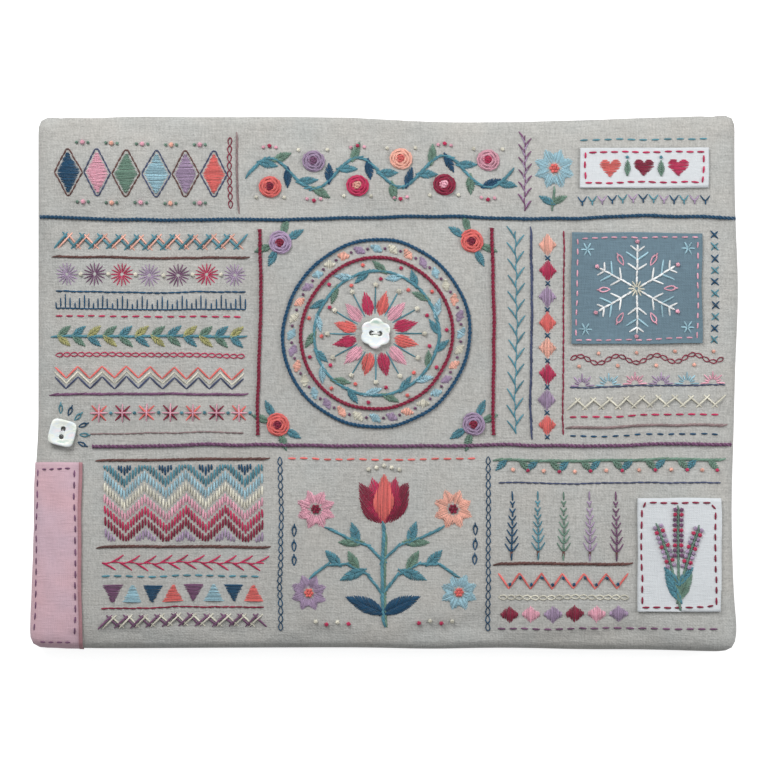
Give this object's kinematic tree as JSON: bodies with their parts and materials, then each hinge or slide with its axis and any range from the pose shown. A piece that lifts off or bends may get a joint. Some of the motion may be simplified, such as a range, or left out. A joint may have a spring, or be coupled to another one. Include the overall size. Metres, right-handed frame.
{
  "type": "sewing pouch",
  "caption": "Flat padded linen pouch with a recessed top zip, stitched front, applied cloth patches and pearl buttons, for keeping needlework tools.",
  "frame": {"origin": "under the middle of the pouch, on the surface that its back lies on", "axes": "+X along the zip towards its closed end, +Y towards the mouth, +Z out of the embroidered front"},
  "size_m": [0.2808, 0.2128, 0.0217],
  "materials": {
    "linen": "woven linen, matt",
    "wadding": "soft polyester wadding",
    "lining": "plain cotton",
    "pink_cotton": "plain cotton",
    "blue_cotton": "plain cotton",
    "white_cotton": "plain cotton",
    "pearl": "polished pearl shell",
    "thread": "cotton thread",
    "petrol_cord": "stranded cotton",
    "crimson_cord": "stranded cotton",
    "plum_cord": "stranded cotton",
    "zip_tape": "woven tape",
    "zip_teeth": "moulded",
    "zip_metal": "satin"
  },
  "bodies": {
    "pouch": {"front_panel": "linen", "back_panel": "linen", "front_wadding": "wadding", "back_wadding": "wadding", "front_lining": "lining", "back_lining": "lining", "pink_patch": "pink_cotton", "blue_patch": "blue_cotton", "white_tall_patch": "white_cotton", "white_strip_patch": "white_cotton", "flower_button": "pearl", "flower_button_thread": "thread", "square_button": "pearl", "square_button_thread": "thread", "top_border_cord": "petrol_cord", "low_border_cord": "plum_cord", "left_border_cord": "crimson_cord", "right_border_cord": "crimson_cord", "medallion_outer_cord": "petrol_cord", "medallion_inner_cord": "crimson_cord", "zip_teeth_front": "zip_teeth", "zip_teeth_back": "zip_teeth", "zip_tape_front": "zip_tape", "zip_tape_back": "zip_tape", "zip_top_stop_front": "zip_metal", "zip_top_stop_back": "zip_metal", "zip_bottom_stop": "zip_metal"},
    "slider": {"zip_slider": "zip_metal"},
    "pull": {"zip_pull": "zip_metal"}
  },
  "joints": [
    {"name": "zip_slide", "type": "slide", "parent": "pouch", "child": "slider", "axis": [-1, 0, 0], "range_m": [0, 0.2115], "deforming": ["zip_teeth_front", "zip_teeth_back", "zip_tape_front", "zip_tape_back"]},
    {"name": "pull_swing", "type": "hinge", "parent": "slider", "child": "pull", "pos_m": [0.1082, 0.10085, 0.0081], "axis": [0, 0, -1], "range_deg": [0, 165]}
  ]
}
